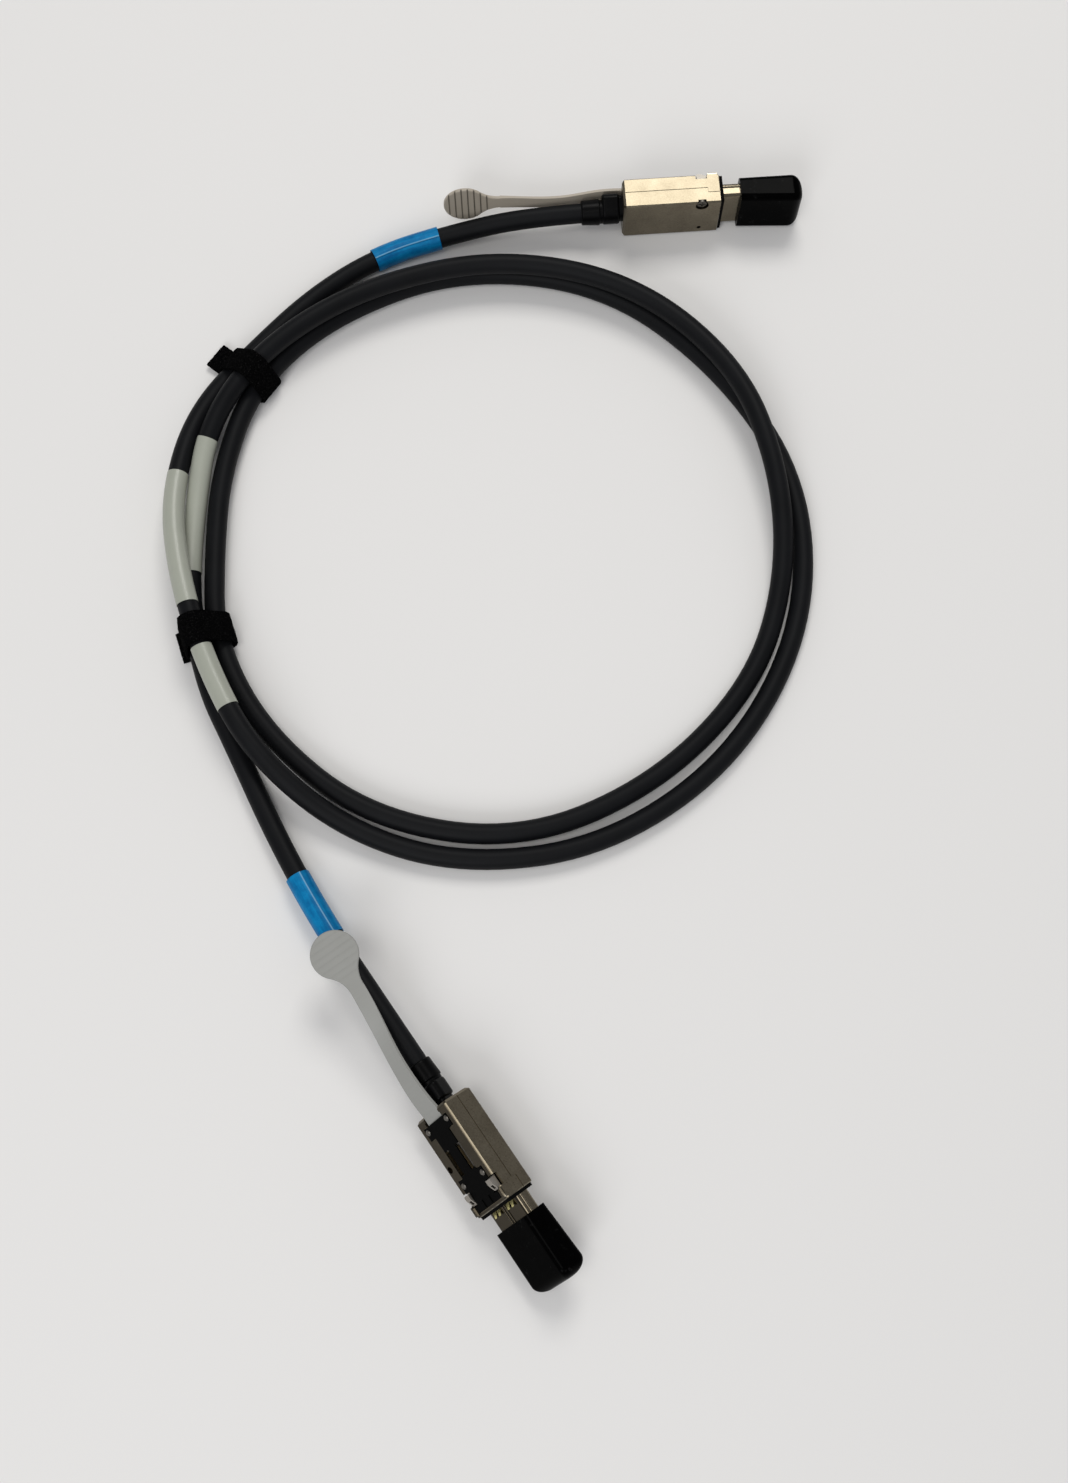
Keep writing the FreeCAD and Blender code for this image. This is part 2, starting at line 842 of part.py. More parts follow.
def plate_outline(grow):
    ear = ear_half + grow
    body = plate_body_width / 2 + grow
    spine = plate_spine_width / 2 + grow
    half = [(plate_rear - grow, ear), (ear_front + grow, ear), (ear_front + grow, body),
            (window_start + grow, body), (window_start + grow, spine), (window_end - grow, spine),
            (window_end - grow, body), (plate_head_start - grow, body), (plate_head_start - grow, ear),
            (plate_front + grow, ear)]
    return half + [(x, -y) for x, y in half[::-1]]


def retainer_plate():
    plate = plate_from(plate_outline(0), plate_under, plate_top)
    c = hook_notch_clearance
    hook_inner = bar_head_width / 2 - hook_width - c
    rib_inner = plate_rib_y - plate_rib_width / 2
    for side in (-1, 1):
        plate = plate.cut(side_block(hook_x - c, hook_x + hook_length + c, side, hook_inner, ear_half,
                                     plate_under, plate_top))
        rib = side_block(plate_front - plate_rib_length, plate_front, side, rib_inner,
                         rib_inner + plate_rib_width, plate_under, plate_top + plate_rib_height)
        plate = plate.fuse(rib)
    for x, y in rivet_places():
        plate = plate.cut(rod(rivet_radius, x, y, plate_under, plate_top))
    return plate.removeSplitter()


def plate_rivets():
    rivets = []
    for x, y in rivet_places():
        shank = rod(rivet_radius, x, y, plate_under - rivet_depth, plate_top)
        head = Part.makeCone(rivet_head_radius, rivet_radius, rivet_head_height, V(x, y, plate_top))
        rivets.append(shank.fuse(head).removeSplitter())
    return Part.makeCompound(rivets)


def pivot_pin():
    reach = recess_width / 2 + pin_seat
    return cross_rod(pin_radius, pin_x, pin_height, -reach, reach)


def latch_bar():
    web = centred(bar_tail, bar_web_front, 2 * bar_side, bar_low, bar_high)
    lip_width = tab_width - 2 * tab_slot_clearance
    pieces = [centred(bar_tail, bar_tail + bar_lip, lip_width, bar_low - bar_lip_drop, bar_low)]
    pieces.append(cross_rod(knuckle_radius, pin_x, pin_height, -bar_side, bar_side))
    pieces.append(centred(bar_head_start, bar_head_end, bar_head_width, bar_low, bar_high))
    arm_outer = bar_arm_inner + bar_arm_width
    for side in (-1, 1):
        pieces.append(side_block(bar_web_front, bar_head_start, side, bar_arm_inner, arm_outer,
                                 bar_low, bar_high))
        pieces.append(hook(side))
    bar = web.fuse(pieces).removeSplitter()
    bar = bar.cut(cross_rod(pin_radius + pin_clearance, pin_x, pin_height, -bar_side, bar_side))
    for side in (-1, 1):
        bar = bar.cut(hook_window(side))
    return bar


def hook(side):
    outer = side * bar_head_width / 2
    y0 = min(outer, outer - side * hook_width)
    top = latch_face + hook_proud
    toe = latch_face - hook_toe_drop
    profile = [(hook_x, bar_low), (hook_x + hook_length, bar_low), (hook_x + hook_length, toe),
               (hook_x + hook_flat, top), (hook_x, top)]
    return side_profile(profile, hook_width, y0)


def hook_window(side):
    middle_y = (bar_head_width - hook_width) / 2
    middle_x = hook_x + (hook_length + hook_flat) / 2
    half = hook_window_length / 2
    return side_block(middle_x - half, middle_x + half, side, middle_y - hook_window_width / 2,
                      middle_y + hook_window_width / 2, bar_low, latch_face + hook_proud)


# Pull tab and its return springs

def tab_section(x, offset, twist, width, thickness):
    half_width = width / 2
    half = thickness / 2
    corners = [V(x, -half_width, -half), V(x, half_width, -half),
               V(x, half_width, half), V(x, -half_width, half)]
    section = Part.makePolygon(corners + corners[:1])
    section.rotate(V(x, 0, 0), V(1, 0, 0), twist)
    section.translate(V(0, *offset))
    return section


def tongue():
    jog_front = jog_rear + tongue_jog_length
    profile = [(tongue_front, tongue_low), (tongue_front, tongue_high), (jog_front, tongue_high),
               (jog_rear, strap_high), (0, strap_high), (0, strap_low), (jog_rear, strap_low),
               (jog_front, tongue_low)]
    body = side_profile(profile, tab_width, -tab_width / 2)
    root = centred(0, jog_rear, strap_exit_width, strap_low, strap_high)
    cross = centred(head_rear, head_rear + head_length, head_width, tongue_low, tongue_high)
    lift = (pin_x - bar_tail) * math.tan(math.radians(latch_angle))
    slope = lift / tab_travel
    touch = bar_low - bar_lip_drop - fit_clearance
    at_front = touch + slope * (tongue_front - bar_tail - bar_lip)
    at_rear = touch + slope * (ramp_rear - bar_tail - bar_lip)
    wedge = [(ramp_rear, tongue_high), (tongue_front, tongue_high), (tongue_front, at_front),
             (ramp_rear, at_rear)]
    width = tab_width - 4 * tab_slot_clearance
    ramp = side_profile(wedge, width, -width / 2)
    return body.fuse([root, cross, ramp])


def grip_outline():
    reach = grip_radius + grip_blend
    lift = tab_width / 2 + grip_blend
    run = math.sqrt(reach ** 2 - lift ** 2)
    share = grip_radius / reach
    neck_x = grip_centre + run
    touch = V(grip_centre + run * share, lift * share, 0)
    swing = (math.pi / 2 + math.atan2(lift, run)) / 2
    blend = V(neck_x - grip_blend * math.cos(swing), lift - grip_blend * math.sin(swing), 0)
    neck = V(neck_x, tab_width / 2, 0)
    tip = V(grip_centre - grip_radius, 0, 0)

    def mirrored(p):
        return V(p.x, -p.y, p.z)

    edges = [Part.Arc(neck, blend, touch).toShape(),
             Part.Arc(touch, tip, mirrored(touch)).toShape(),
             Part.Arc(mirrored(touch), mirrored(blend), mirrored(neck)).toShape(),
             Part.LineSegment(mirrored(neck), neck).toShape()]
    return Part.Face(Part.Wire(edges)), neck_x


def grip(offset, twist):
    outline, neck_x = grip_outline()
    pad = outline.extrude(V(0, 0, grip_thickness))
    flat_edges = [e for e in pad.Edges if e.BoundBox.ZLength < edge_tolerance]
    rims = [e for e in flat_edges if e.BoundBox.XLength > edge_tolerance]
    pad = pad.makeChamfer(grip_edge, rims)
    for i in range(grip_groove_count):
        x0 = grip_centre - grip_radius + grip_groove_first + grip_groove_pitch * i
        x1 = x0 + grip_groove_width
        pad = pad.cut(centred(x0, x1, 3 * grip_radius, 0, grip_groove_inner))
        pad = pad.cut(centred(x0, x1, 3 * grip_radius, grip_thickness - grip_groove_outer, grip_thickness))
    pad.translate(V(0, 0, -grip_thickness / 2))
    pad.rotate(V(), V(1, 0, 0), twist)
    pad.translate(V(0, *offset))
    return pad, neck_x


def pull_tab(offset, twist, bows):
    end, neck_x = grip(offset, twist)
    exit_middle = (strap_low + strap_high) / 2
    sections = [tab_section(0, (0, exit_middle), 0, strap_exit_width, tab_thickness)]
    for (behind, share, narrowing), bow in zip(strap_stations, bows):
        y = share * offset[0]
        z = exit_middle + share * (offset[1] - exit_middle) + bow
        width = strap_exit_width + narrowing * (tab_width - strap_exit_width)
        sections.append(tab_section(-behind, (y, z), share * twist, width, tab_thickness))
    sections.append(tab_section(neck_x, offset, twist, tab_width, grip_thickness))
    strap = Part.makeLoft(sections, True, False)
    return tongue().fuse([strap, end]).removeSplitter()


def return_springs():
    x0 = rear_wall + spring_clearance
    x1 = head_rear - spring_clearance
    step = (x1 - x0 - spring_sheet) / spring_folds
    inner = tab_width / 2 + tab_slot_clearance
    outer = head_width / 2 - spring_clearance
    top = tongue_low + spring_height
    springs = []
    for side in (-1, 1):
        leaves = []
        for i in range(spring_folds + 1):
            x = x0 + i * step
            leaves.append(side_block(x, x + spring_sheet, side, inner, outer, tongue_low, top))
        for i in range(spring_folds):
            x = x0 + i * step
            near = inner if i % 2 else outer - spring_sheet
            far = near + spring_sheet
            leaves.append(side_block(x, x + step + spring_sheet, side, near, far, tongue_low, top))
        springs.append(leaves[0].fuse(leaves[1:]).removeSplitter())
    return Part.makeCompound(springs)


# Screw and dust cap

def shell_screw():
    seat = base_face + counterbore_depth
    shank = rod(screw_radius, screw_x, screw_y, seat, seat + screw_length)
    head = rod(screw_head_radius, screw_x, screw_y, seat - screw_head_height, seat)
    half = screw_radius / 3
    reach = screw_head_radius * 0.7
    drive_top = seat - screw_head_height / 2
    low = seat - screw_head_height
    long_way = block(screw_x - reach, screw_x + reach, screw_y - half, screw_y + half, low, drive_top)
    cross_way = block(screw_x - half, screw_x + half, screw_y - reach, screw_y + reach, low, drive_top)
    return shank.fuse(head).cut(long_way.fuse(cross_way)).removeSplitter()


def cap_section(x, inset):
    grown = cap_flare * (x - cap_mouth) / (2 * cap_length)
    middle_z = nose_centre - grown
    width = cap_width / 2 - inset
    height = cap_height / 2 + grown - inset
    corner = min(cap_corner, 0.8 * height)
    diagonal = corner * (1 - math.sqrt(0.5))
    points = []
    for y_side, z_side in ((1, 1), (-1, 1), (-1, -1), (1, -1)):
        upright = (y_side * width, z_side * (height - corner))
        middle = (y_side * (width - diagonal), z_side * (height - diagonal))
        flat = (y_side * (width - corner), z_side * height)
        points.append((upright, middle, flat) if y_side == z_side else (flat, middle, upright))
    corners = [[V(x, y, middle_z + z) for y, z in trio] for trio in points]
    edges = []
    for here, after in zip(corners, corners[1:] + corners[:1]):
        edges.append(Part.Arc(*here).toShape())
        edges.append(Part.LineSegment(here[2], after[0]).toShape())
    return Part.Wire(edges)


def dust_cap():
    round_start = cap_tip - cap_tip_round
    straight = Part.makeLoft([cap_section(cap_mouth, 0), cap_section(round_start, 0)], True, True)
    sections = []
    for i in range(cap_tip_steps + 1):
        turn = math.pi / 2 * i / cap_tip_steps
        inset = cap_tip_round * (1 - math.cos(turn))
        sections.append(cap_section(round_start + cap_tip_round * math.sin(turn), inset))
    outer = straight.fuse(Part.makeLoft(sections, True, False)).removeSplitter()
    hollow_end = cap_tip - cap_end_wall
    outer = outer.cut(nose_bar(cap_mouth, hollow_end, cap_clearance))
    for bead in nose_beads(hollow_end, cap_clearance):
        outer = outer.cut(bead)
    return outer


def plug_pieces(offset, twist, bows):
    card = paddle_card()
    pairs = wire_pairs()
    return {
        "latch_shell": latch_shell(),
        "base_shell": base_shell(),
        "nose_sleeve": nose_sleeve(),
        "front_gasket": front_gasket(),
        "spring_fingers": spring_fingers(),
        "paddle_card": card,
        "card_contacts": card_contacts(),
        "wire_pairs": pairs,
        "inner_mould": inner_mould(card, pairs),
        "crimp_ring": crimp_ring(),
        "boot": boot(),
        "retainer_plate": retainer_plate(),
        "plate_rivets": plate_rivets(),
        "pivot_pin": pivot_pin(),
        "latch_bar": latch_bar(),
        "pull_tab": pull_tab(offset, twist, bows),
        "return_springs": return_springs(),
        "shell_screw": shell_screw(),
        "dust_cap": dust_cap(),
    }


def place_plug(pieces, suffix, place, roll, heading):
    placed = {}
    for name, shape in pieces.items():
        shape.rotate(V(), V(1, 0, 0), roll)
        shape.rotate(V(), V(0, 0, 1), heading)
        shape.translate(V(*place))
        placed[name + suffix] = shape
    return placed


def cable_pieces():
    edges = route_edges(route_points())
    total = sum(edge.Length for edge in edges)
    coil_end = total - coil_from_b
    spans = {"cable_lead_a": (0.0, coil_from_a), "cable_coil": (coil_from_a, coil_end),
             "cable_lead_b": (coil_end, total)}
    pieces = {name: tube(stretch(edges, *span), cable_radius) for name, span in spans.items()}
    section = math.pi * cable_radius ** 2
    volume = sum(piece.Volume for piece in pieces.values())
    print("cable length %.1f, volume over section times length %.4f" % (total, volume / (section * total)))
    sleeve_b_from = total - sleeve_b_start - sleeve_b_length
    label_short_from = label_long_start + label_long_length + label_gap
    label_middle_from = total - label_middle_start - label_middle_length
    pieces["sleeve_a"] = wrap(edges, sleeve_a_start, sleeve_a_length, sleeve_wall)
    pieces["sleeve_b"] = wrap(edges, sleeve_b_from, sleeve_b_length, sleeve_wall)
    pieces["label_long"] = wrap(edges, label_long_start, label_long_length, label_wall)
    pieces["label_short"] = wrap(edges, label_short_from, label_short_length, label_wall)
    pieces["label_middle"] = wrap(edges, label_middle_from, label_middle_length, label_wall)
    pieces["tie_upper"] = tie(edges, tie_1_angle, tie_1_width, tie_1_flap)
    pieces["tie_lower"] = tie(edges, tie_2_angle, tie_2_width, tie_2_flap)
    return pieces


def build():
    nodes = cable_pieces()
    plug_a = plug_pieces(grip_a_offset, grip_a_twist, strap_a_bows)
    nodes.update(place_plug(plug_a, "_a", plug_a_place, plug_a_roll, plug_a_heading))
    plug_b = plug_pieces(grip_b_offset, grip_b_twist, strap_b_bows)
    nodes.update(place_plug(plug_b, "_b", plug_b_place, plug_b_roll, plug_b_heading))
    return nodes


os.makedirs("parts", exist_ok=True)
for node, shape in build().items():
    shape.exportStep("parts/" + node + ".step")
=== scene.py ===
import bpy
import math
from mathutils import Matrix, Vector, geometry


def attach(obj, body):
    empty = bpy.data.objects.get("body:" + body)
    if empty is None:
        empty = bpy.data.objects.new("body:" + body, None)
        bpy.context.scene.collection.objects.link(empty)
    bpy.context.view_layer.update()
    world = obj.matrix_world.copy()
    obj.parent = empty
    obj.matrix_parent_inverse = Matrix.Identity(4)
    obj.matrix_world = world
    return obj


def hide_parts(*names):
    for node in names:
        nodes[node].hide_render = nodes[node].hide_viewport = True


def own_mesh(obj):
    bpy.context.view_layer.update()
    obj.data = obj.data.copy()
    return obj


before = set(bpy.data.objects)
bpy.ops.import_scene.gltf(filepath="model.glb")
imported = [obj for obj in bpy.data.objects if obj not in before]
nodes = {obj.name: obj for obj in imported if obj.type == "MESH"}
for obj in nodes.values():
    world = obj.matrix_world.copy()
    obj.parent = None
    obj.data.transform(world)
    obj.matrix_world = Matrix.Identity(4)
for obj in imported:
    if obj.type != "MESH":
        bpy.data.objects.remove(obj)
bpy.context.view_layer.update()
mm = 0.001
print("frame loaded:", len(nodes), "nodes")


# small helpers

def deselectAll():
    if bpy.context.object and bpy.context.object.mode != "OBJECT":
        bpy.ops.object.mode_set(mode="OBJECT")
    bpy.ops.object.select_all(action="DESELECT")


def activate(piece):
    deselectAll()
    piece.select_set(True)
    bpy.context.view_layer.objects.active = piece


def addObject(name, data):
    piece = bpy.data.objects.new(name, data)
    bpy.context.collection.objects.link(piece)
    return piece


def addCurve(name, dimensions, kind, points):
    curve = bpy.data.curves.new(name, "CURVE")
    curve.dimensions = dimensions
    spline = curve.splines.new(kind)
    spline.points.add(len(points) - 1)
    for control, place in zip(spline.points, points):
        control.co = (*place, 1)
    return addObject(name, curve)


def applyModifier(piece, kind, **settings):
    activate(piece)
    modifier = piece.modifiers.new(kind.lower(), kind)
    for key, value in settings.items():
        setattr(modifier, key, value)
    bpy.ops.object.modifier_apply(modifier=modifier.name)


def toMesh(piece):
    activate(piece)
    bpy.ops.object.convert(target="MESH")
    return bpy.context.object


def mergePoints(piece, reach):
    activate(piece)
    bpy.ops.object.mode_set(mode="EDIT")
    bpy.ops.mesh.select_all(action="SELECT")
    bpy.ops.mesh.remove_doubles(threshold=reach)
    bpy.ops.object.mode_set(mode="OBJECT")


def smoothByAngle(piece, degrees):
    activate(piece)
    bpy.ops.object.shade_smooth_by_angle(angle=math.radians(degrees))


def wear(piece, material):
    piece.data.materials.clear()
    piece.data.materials.append(material)
    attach(piece, "root")


# shader maths: a socket that can be added, multiplied and so on

def setSocket(target, value):
    if isinstance(value, Sock):
        value.tree.links.new(value.socket, target)
    elif target.type == "RGBA":
        target.default_value = (*value, 1)
    else:
        target.default_value = value


class Sock:
    def __init__(self, tree, socket):
        self.tree = tree
        self.socket = socket

    def node(self, kind, settings=None, inputs=None, out=0):
        made = self.tree.nodes.new(kind)
        for key, value in (settings or {}).items():
            setattr(made, key, value)
        for key, value in (inputs or {}).items():
            setSocket(made.inputs[key], value)
        return Sock(self.tree, made.outputs[out])

    def maths(self, operation, first, second):
        return self.node("ShaderNodeMath", {"operation": operation}, {0: first, 1: second})

    def __add__(self, other):
        return self.maths("ADD", self, other)

    def __radd__(self, other):
        return self.maths("ADD", other, self)

    def __sub__(self, other):
        return self.maths("SUBTRACT", self, other)

    def __rsub__(self, other):
        return self.maths("SUBTRACT", other, self)

    def __mul__(self, other):
        return self.maths("MULTIPLY", self, other)

    def __rmul__(self, other):
        return self.maths("MULTIPLY", other, self)

    def fraction(self):
        return self.maths("FRACT", self, 0.0)

    def below(self, limit):
        return self.maths("LESS_THAN", self, limit)

    def above(self, limit):
        return self.maths("GREATER_THAN", self, limit)

    def between(self, low, high):                                 # 0 at low, 1 at high
        limits = {"Value": self, "From Min": low, "From Max": high}
        return self.node("ShaderNodeMapRange", {"clamp": True}, limits)

    def mix(self, first, second):
        return self.node("ShaderNodeMix", {"data_type": "RGBA"}, {0: self, 6: first, 7: second}, 2)

    def bump(self, strength, depth):
        inputs = {"Height": self, "Strength": strength, "Distance": depth}
        return self.node("ShaderNodeBump", None, inputs)


def newMaterial(name):
    material = bpy.data.materials.new(name)
    material.use_nodes = True
    tree = material.node_tree
    shader = tree.nodes["Principled BSDF"]
    coords = Sock(tree, tree.nodes.new("ShaderNodeTexCoord").outputs["Object"])
    return material, shader, coords


shaderSockets = {"color": "Base Color", "roughness": "Roughness", "metallic": "Metallic", "normal": "Normal",
                 "coat": "Coat Weight", "specular": "Specular IOR Level", "ior": "IOR"}


def feed(shader, **values):
    for key, value in values.items():
        setSocket(shader.inputs[shaderSockets[key]], value)


def noise(coords, scale, detail, rough=0.5):
    recipe = {"Vector": coords, "Scale": scale, "Detail": detail, "Roughness": rough}
    return coords.node("ShaderNodeTexNoise", None, recipe, "Fac")


# where a point lies in a plug: along it, across it and above it, in mm

plugFrames = {
    "a": {"place": (56.17, 211.37, 11.2), "heading": 4.0, "roll": -90.0,
          "grip": (-2.0, 6.6), "twist": -7.0},                    # the grip's place across and above
    "b": {"place": (-13.74, -157.23, 11.6), "heading": -55.0, "roll": 52.0,
          "grip": (8.2, 9.8), "twist": -52.0},
}


def plugAxes(plug):
    turn, roll = math.radians(plug["heading"]), math.radians(plug["roll"])
    along = Vector((math.cos(turn), math.sin(turn), 0))
    across = Vector((-math.sin(turn) * math.cos(roll), math.cos(turn) * math.cos(roll), math.sin(roll)))
    return along, across, along.cross(across)


def plugCoords(at, side):
    plug = plugFrames[side]
    measures = []
    for axis in plugAxes(plug):
        inputs = {0: at, 1: axis / mm}
        reach = at.node("ShaderNodeVectorMath", {"operation": "DOT_PRODUCT"}, inputs, "Value")
        measures.append(reach - axis.dot(Vector(plug["place"])))
    return measures


# finishes: a noise is scale, detail and roughness, a bump is strength and depth in m

jacketLook = {
    "dark": (0.0028, 0.0030, 0.0035), "light": (0.0090, 0.0096, 0.0112), "patches": (70, 4),
    "grain": (2600, 2), "waves": (300, 3), "scuffs": (420, 5, 0.7), "scuffed": (0.62, 0.78),
    "roughness": 0.40, "bump": (0.25, 0.0002), "specular": 0.4, "ior": 1.22,
}


def jacketMaterial():
    look = jacketLook
    material, shader, at = newMaterial("jacketBlack")
    patches = noise(at, *look["patches"])
    grain = noise(at, *look["grain"])
    scuffs = noise(at, *look["scuffs"]).between(*look["scuffed"])
    relief = grain * 0.6 + noise(at, *look["waves"]) * 0.4
    color = (patches * 0.7 + scuffs * 0.3).mix(look["dark"], look["light"])
    feed(shader, color=color, roughness=look["roughness"] + patches * 0.12 + grain * 0.08,
         normal=relief.bump(*look["bump"]), specular=look["specular"], ior=look["ior"])
    return material


nickelLook = {
    # the third colour on the next line is painted shade for the latch face, standing in for the shadowed
    # floor it reflects
    "dark": (0.124, 0.104, 0.072), "light": (0.220, 0.192, 0.140), "latchShade": (0.044, 0.037, 0.026),
    "bare": (0.27, 0.245, 0.19), "speckle": (1500, 4, 0.65), "clouds": (130, 3), "mottled": (0.3, 0.7),
    "rubbing": (350, 4, 0.6), "rubbed": (0.38, 0.6), "roughness": 0.24, "bump": (0.18, 0.0001),
    "edge": 0.45, "shadedTop": (0.4, 0.15),                  # width of a worn edge, depth of the painted shade on the latch face, mm
}
shellBox = {"along": (0.0, 40.6), "across": (-10.8, 10.8), "above": (-5.6, 8.0)}      # in the plug, mm
noseBox = {"along": (40.6, 75.0), "across": (-9.8, 9.8), "above": (-2.5, 3.7)}


def nearFace(measure, low, high):
    edge = nickelLook["edge"]
    return measure.between(low + edge, low + edge / 4) + measure.between(high - edge, high - edge / 4)


def nickelMaterial(name, smooth, side, box):
    look = nickelLook
    material, shader, at = newMaterial(name)
    speckle = noise(at, *look["speckle"])
    clouds = noise(at, *look["clouds"])
    rubbed = noise(at, *look["rubbing"]).between(*look["rubbed"])
    mottle = (speckle * 0.6 + clouds * 0.4).between(*look["mottled"])
    along, across, above = plugCoords(at, side)
    ends, sides, faces = (nearFace(along, *box["along"]), nearFace(across, *box["across"]),
                          nearFace(above, *box["above"]))
    edges = (ends * sides + sides * faces + faces * ends) * rubbed
    top = box["above"][1]
    # painted shade: the latch face darker towards its top, standing in for the shadowed floor it reflects
    latchShade = above.between(*(top - depth for depth in look["shadedTop"])) * (0.8 + clouds * 0.3)
    plated = mottle.mix(look["dark"], look["light"])
    shadedTop = latchShade.mix(plated, look["latchShade"])
    strength, depth = look["bump"]
    feed(shader, color=edges.mix(shadedTop, look["bare"]), metallic=1.0,
         normal=speckle.bump(strength * smooth, depth),
         roughness=look["roughness"] * smooth + speckle * 0.10 * smooth - edges * 0.06)
    return material


metalLook = {"grain": (2400, 3), "lighter": 1.25, "bump": (0.08, 0.0001)}
metals = {
    "latchSteel": {"shade": (0.30, 0.28, 0.25), "roughness": 0.44},
    "rivetSteel": {"shade": (0.12, 0.112, 0.10), "roughness": 0.3},
    "screwSteel": {"shade": (0.10, 0.093, 0.082), "roughness": 0.35},
    "fingerGold": {"shade": (0.98, 0.82, 0.38), "roughness": 0.36},
    "contactGold": {"shade": (0.72, 0.55, 0.22), "roughness": 0.22},
    "crimpCopper": {"shade": (0.55, 0.30, 0.18), "roughness": 0.35},
    "wireFoil": {"shade": (0.45, 0.45, 0.46), "roughness": 0.4},
}


def plainMetal(name, metal):
    material, shader, at = newMaterial(name)
    grain = noise(at, *metalLook["grain"])
    light = tuple(min(1.0, c * metalLook["lighter"]) for c in metal["shade"])
    feed(shader, color=grain.mix(metal["shade"], light), metallic=1.0,
         roughness=metal["roughness"] + grain * 0.12, normal=grain.bump(*metalLook["bump"]))
    return material


mouldingLook = {"smudges": (160, 4, 0.6), "smudged": (0.4, 0.75), "lighter": 2.2,
                "scuffs": (330, 6, 0.75), "scuffed": (0.60, 0.80)}
mouldings = {
    "capBlack": {"shade": (0.0005, 0.0005, 0.0005), "scuff": 0.022, "roughness": 0.14,
                 "grain": (900, 3), "bump": (0.03, 0.0001), "ior": 1.07},
    "bootBlack": {"shade": (0.0012, 0.0012, 0.0013), "scuff": 0.006, "roughness": 0.30,
                  "grain": (1600, 3), "bump": (0.14, 0.0001), "ior": 1.15},
    "plateBlack": {"shade": (0.0010, 0.0010, 0.0010), "scuff": 0.005, "roughness": 0.34,
                   "grain": (2200, 3), "bump": (0.10, 0.0001), "ior": 1.08},
    "gasketBlack": {"shade": (0.0015, 0.0015, 0.0015), "scuff": 0.004, "roughness": 0.6,
                    "grain": (1400, 3), "bump": (0.25, 0.0001), "ior": 1.10},
    "mouldBlack": {"shade": (0.010, 0.010, 0.010), "scuff": 0.02, "roughness": 0.5,
                   "grain": (1200, 3), "bump": (0.15, 0.0001), "ior": 1.40},
}


def blackMoulding(name, moulding):
    look = mouldingLook
    material, shader, at = newMaterial(name)
    grain = noise(at, *moulding["grain"])
    smudges = noise(at, *look["smudges"]).between(*look["smudged"])
    scuffs = noise(at, *look["scuffs"]).between(*look["scuffed"])
    light = tuple(c * look["lighter"] for c in moulding["shade"])
    clean = (smudges * 0.6 + grain * 0.25).mix(moulding["shade"], light)
    feed(shader, color=scuffs.mix(clean, (moulding["scuff"],) * 3), ior=moulding["ior"],
         roughness=moulding["roughness"] + smudges * 0.14, normal=grain.bump(*moulding["bump"]))
    return material


tabLook = {
    "a": {"shade": (0.350, 0.308, 0.246), "light": (0.425, 0.376, 0.306)},               # yellowed more, and painted lighter for the light it gets too little of
    "b": {"shade": (0.250, 0.250, 0.232), "light": (0.304, 0.305, 0.287)},
    # the first colour on the next line is painted shade for the grip's grooves
    "grooveShade": (0.150, 0.134, 0.108), "grain": (1800, 2), "clouds": (90, 3), "brushing": (1.0, 3, 0.6),
    "drawn": (2.2, 0.05, 0.05), "roughness": 0.46, "bump": (0.10, 0.0001),
}
gripGrooves = {"first": -72.9, "pitch": 2.65, "width": 0.6, "count": 7}                  # along the plug, mm


def tabMaterial(name, side):
    look = tabLook
    material, shader, at = newMaterial(name)
    grain = noise(at, *look["grain"])
    clouds = noise(at, *look["clouds"])
    along, across, above = plugCoords(at, side)
    plug = plugFrames[side]
    twist = math.radians(plug["twist"])
    outward = (above - plug["grip"][1]) * math.cos(twist) - (across - plug["grip"][0]) * math.sin(twist)
    step = (along - gripGrooves["first"]) * (1 / gripGrooves["pitch"])
    share = gripGrooves["width"] / gripGrooves["pitch"]
    grooves = step.fraction().below(share) * step.above(0.0) * step.below(gripGrooves["count"])
    shadedGrooves = grooves * outward.below(0.0)                          # painted shade in the grooves, on one face of the grip only
    drawn = at.node("ShaderNodeCombineXYZ", None, dict(enumerate(
        measure * stretch for measure, stretch in zip((along, across, above), look["drawn"]))))
    brushed = noise(drawn, *look["brushing"])
    clean = (clouds * 0.5 + grain * 0.2 + brushed * 0.4).mix(look[side]["shade"], look[side]["light"])
    # the grooves on that face darkened with painted shade
    color = (shadedGrooves * (0.65 + clouds * 0.5)).mix(clean, look["grooveShade"])
    feed(shader, color=color, roughness=look["roughness"] + grain * 0.12, normal=grain.bump(*look["bump"]))
    return material


sleeveLook = {
    "deep": (0.0012, 0.082, 0.240), "bright": (0.003, 0.235, 0.500), "drawn": (1.6, 34.0, 1.0),
    "streaks": (1.0, 3, 0.6), "wrinkles": (260, 4, 0.6), "fine": (1500, 2), "creased": (0.34, 0.66),
    "cut": (0.22, 0.44, 0.60), "seam": (0.493, 0.507), "paleness": 0.55,    # the cut edge, its place in v
    "roughness": 0.26, "bump": (0.35, 0.0003), "ior": 1.20,
}


def sleeveMaterial():
    look = sleeveLook
    material, shader, at = newMaterial("sleeveBlue")
    wrapped = at.node("ShaderNodeTexCoord", None, None, "UV")
    drawn = at.node("ShaderNodeMapping", None, {"Vector": wrapped, "Scale": look["drawn"]})
    wrinkles = noise(at, *look["wrinkles"])
    crease = noise(drawn, *look["streaks"]) * 0.55 + wrinkles * 0.35 + noise(at, *look["fine"]) * 0.1
    film = crease.between(*look["creased"]).mix(look["deep"], look["bright"])
    girth = at.node("ShaderNodeSeparateXYZ", None, {0: wrapped}, 1)
    cut = girth.above(look["seam"][0]) * girth.below(look["seam"][1])
    feed(shader, color=(cut * look["paleness"]).mix(film, look["cut"]), ior=look["ior"],
         roughness=look["roughness"] + wrinkles * 0.2, normal=crease.bump(*look["bump"]))
    return material


